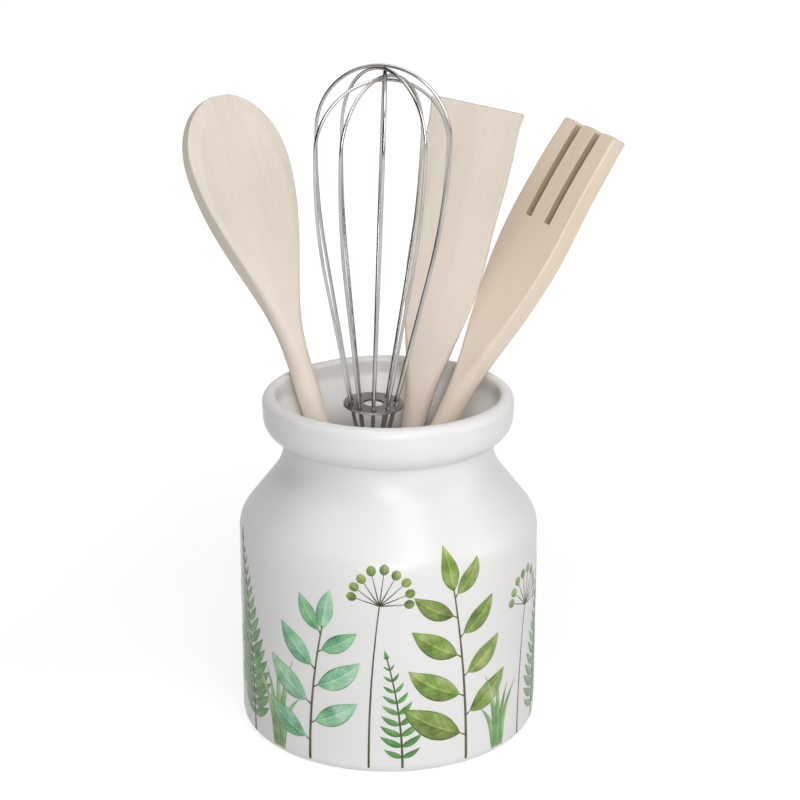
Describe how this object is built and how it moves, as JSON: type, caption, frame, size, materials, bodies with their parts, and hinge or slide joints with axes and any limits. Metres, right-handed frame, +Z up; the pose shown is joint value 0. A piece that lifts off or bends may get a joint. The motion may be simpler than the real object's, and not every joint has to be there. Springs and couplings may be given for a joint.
{
  "type": "utensil crock",
  "caption": "Wide-mouthed glazed ceramic crock with a rolled rim and narrow neck, holding a wooden spoon, spatula and fork and a wire balloon whisk that lift out.",
  "frame": {"origin": "centre of the crock's base ring, on the surface it stands on", "axes": "+Z up along the crock's own axis, -Y towards the viewer of the picture, +X to the right"},
  "size_m": [0.1998, 0.1416, 0.3095],
  "materials": {
    "glaze": "satin white glaze",
    "pale_wood": "sanded, unvarnished",
    "warm_wood": "sanded, unvarnished",
    "grip_wood": "sanded, unvarnished",
    "steel_disc": "pressed stainless steel",
    "steel_wire": "polished stainless wire"
  },
  "bodies": {
    "crock": {"crock_body": "glaze"},
    "spoon": {"wooden_spoon": "pale_wood"},
    "spatula": {"wooden_spatula": "pale_wood"},
    "fork": {"wooden_fork": "warm_wood"},
    "whisk": {"whisk_grip": "grip_wood", "whisk_plug": "grip_wood", "whisk_disc": "steel_disc", "whisk_wire_loop_1": "steel_wire", "whisk_wire_loop_2": "steel_wire", "whisk_wire_loop_3": "steel_wire", "whisk_wire_loop_4": "steel_wire", "whisk_wire_loop_5": "steel_wire"}
  },
  "joints": [
    {"name": "spoon_lift", "type": "slide", "parent": "crock", "child": "spoon", "axis": [-0.2939, 0.2894, 0.911], "range_m": [0, 0.18]},
    {"name": "spatula_lift", "type": "slide", "parent": "crock", "child": "spatula", "axis": [0.1886, 0.0461, 0.981], "range_m": [0, 0.165]},
    {"name": "fork_lift", "type": "slide", "parent": "crock", "child": "fork", "axis": [0.4391, 0.186, 0.879], "range_m": [0, 0.185]},
    {"name": "whisk_lift", "type": "slide", "parent": "crock", "child": "whisk", "axis": [0.0372, -0.0405, 0.9985], "range_m": [0, 0.165]}
  ]
}
